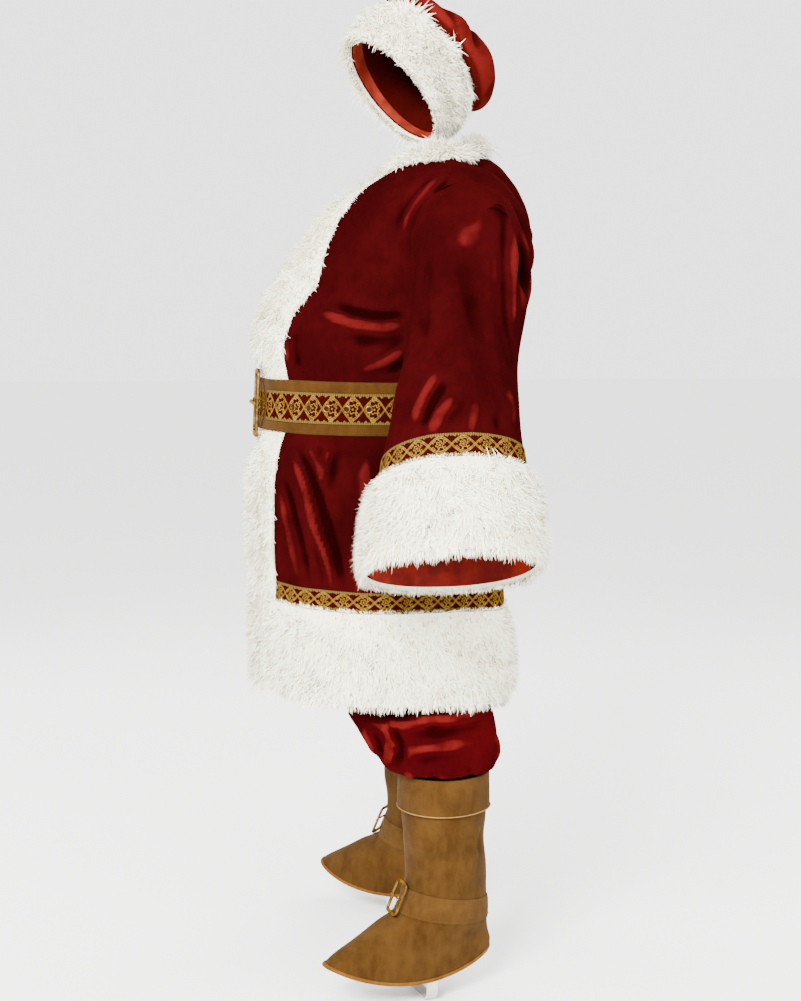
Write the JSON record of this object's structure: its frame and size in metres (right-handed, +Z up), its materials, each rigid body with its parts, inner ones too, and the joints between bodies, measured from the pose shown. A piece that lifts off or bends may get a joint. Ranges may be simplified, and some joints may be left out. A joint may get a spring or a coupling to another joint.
{
  "type": "santa suit",
  "caption": "Worn fur-trimmed velvet coat with a wide buckled belt, trousers, soft hat and a pair of strapped boot covers, all with open hollows.",
  "frame": {"origin": "middle of the coat's neckline, where the wearer holds the suit up", "axes": "the wearer faces -Y, the wearer's left is +X, +Z is up"},
  "size_m": [1.2228, 0.5531, 1.8689],
  "materials": {
    "velvet": "deep red cotton velvet with a soft nap",
    "fur": "long ivory fur pile",
    "braid": "woven brocade braid, gold on dark red",
    "suede": "tan suede",
    "satin": "red satin lining",
    "brass": "worn brass",
    "elastic": "woven elastic tape"
  },
  "bodies": {
    "root": {"belt_braid": "braid", "belt_buckle_frame": "brass", "belt_buckle_prong": "brass", "belt_eyelet_left_1": "brass", "belt_eyelet_left_2": "brass", "belt_eyelet_left_3": "brass", "belt_eyelet_left_4": "brass", "belt_eyelet_right_4": "brass", "belt_free_end": "suede", "belt_strap": "suede", "boot_binding_left": "suede", "boot_binding_right": "suede", "boot_buckle_left": "brass", "boot_buckle_right": "brass", "boot_cuff_left": "suede", "boot_cuff_right": "suede", "boot_elastic_left": "elastic", "boot_elastic_right": "elastic", "boot_strap_left": "suede", "boot_strap_right": "suede", "boot_upper_left": "suede", "boot_upper_right": "suede", "coat_back": "velvet", "coat_front_left": "velvet", "coat_front_right": "velvet", "coat_sleeve_left": "velvet", "coat_sleeve_right": "velvet", "collar_fur": "fur", "cuff_braid_left": "braid", "cuff_braid_right": "braid", "cuff_fur_left": "fur", "cuff_fur_right": "fur", "front_fur_left": "fur", "front_fur_right": "fur", "hat_brim_fur": "fur", "hat_crown": "velvet", "hat_lining": "satin", "hem_braid": "braid", "hem_fur": "fur", "sleeve_lining_left": "satin", "sleeve_lining_right": "satin", "trousers_left": "velvet", "trousers_right": "velvet", "trousers_waistband": "velvet"}
  },
  "joints": []
}
